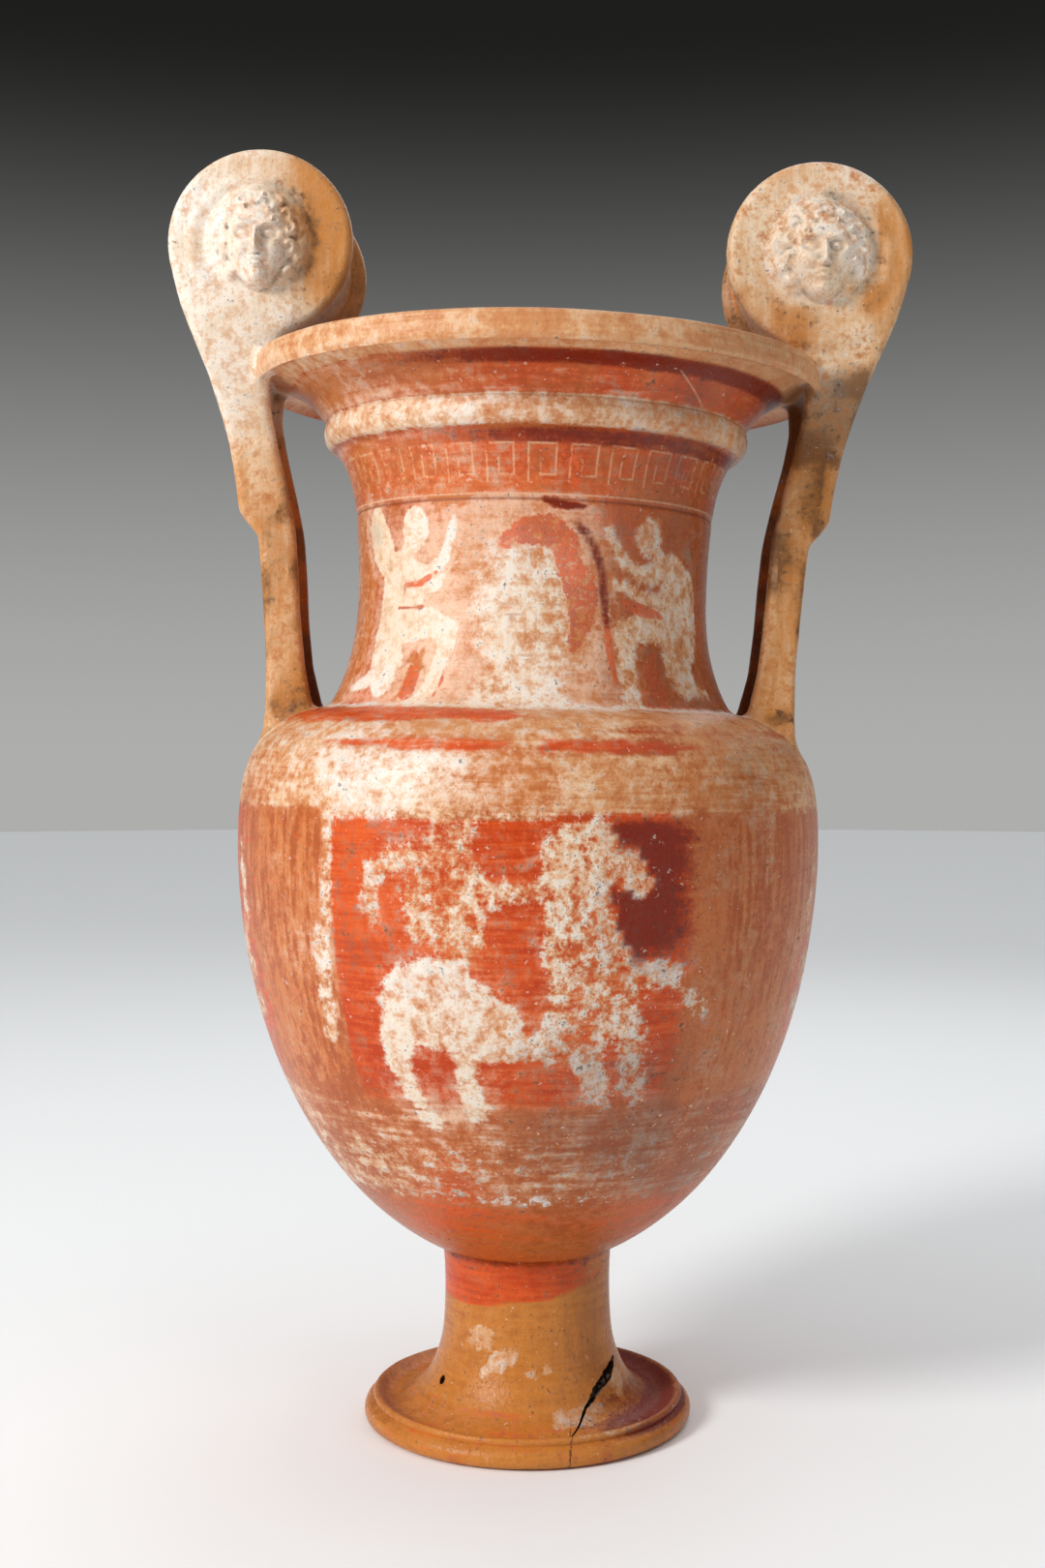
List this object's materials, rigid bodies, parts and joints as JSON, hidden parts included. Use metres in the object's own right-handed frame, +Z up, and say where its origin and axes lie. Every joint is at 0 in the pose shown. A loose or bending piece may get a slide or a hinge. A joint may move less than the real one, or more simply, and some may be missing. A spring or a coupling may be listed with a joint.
{
  "type": "volute krater",
  "caption": "Tall open-mouthed terracotta mixing bowl on a dished pedestal foot, with strap handles that rise above the rim into drum volutes faced with small relief heads.",
  "frame": {"origin": "middle of the underside of the whole object's box, on the surface the foot stands on; the foot's own axis is 7.8 mm towards -X of it, because the pot leans towards +X", "axes": "+Z up, -Y towards the painted front, the two handles along X"},
  "size_m": [0.46, 0.3692, 0.7954],
  "materials": {
    "terracotta": "fired clay with a worn orange-red slip, cream and ochre paint flaking from it, scratches, dust and patches of bare clay"
  },
  "bodies": {
    "root": {"krater": "terracotta"}
  },
  "joints": []
}
